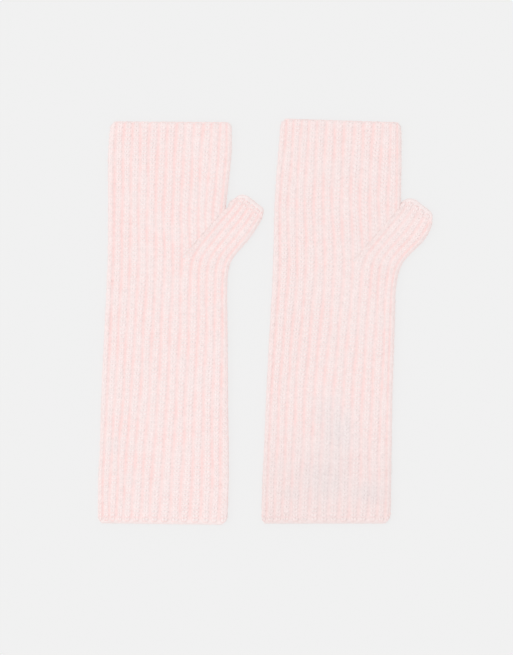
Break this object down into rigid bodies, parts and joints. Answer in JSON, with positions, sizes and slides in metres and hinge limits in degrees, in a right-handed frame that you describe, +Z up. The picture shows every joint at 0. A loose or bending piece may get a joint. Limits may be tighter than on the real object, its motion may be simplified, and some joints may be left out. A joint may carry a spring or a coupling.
{
  "type": "pair of long fingerless knitted mittens",
  "caption": "Pair of long fingerless mittens in chunky pale pink rib knit, laid flat side by side, each an open flattened tube with an open half thumb.",
  "frame": {"origin": "on the surface that the mittens lie on, under the middle of the pair", "axes": "+Y from the wrists to the finger openings, +X to the side that the thumbs point to, +Z up"},
  "size_m": [0.2594, 0.3128, 0.006],
  "materials": {
    "left_tube_knit": "brushed pale pink wool in a chunky rib, matt with a soft nap",
    "left_thumb_knit": "brushed pale pink wool in a chunky rib, matt with a soft nap",
    "right_tube_knit": "brushed pale pink wool in a chunky rib, matt with a soft nap",
    "right_thumb_knit": "brushed pale pink wool in a chunky rib, matt with a soft nap"
  },
  "bodies": {
    "root": {"left_mitten_tube": "left_tube_knit", "left_mitten_thumb": "left_thumb_knit", "right_mitten_tube": "right_tube_knit", "right_mitten_thumb": "right_thumb_knit"}
  },
  "joints": []
}
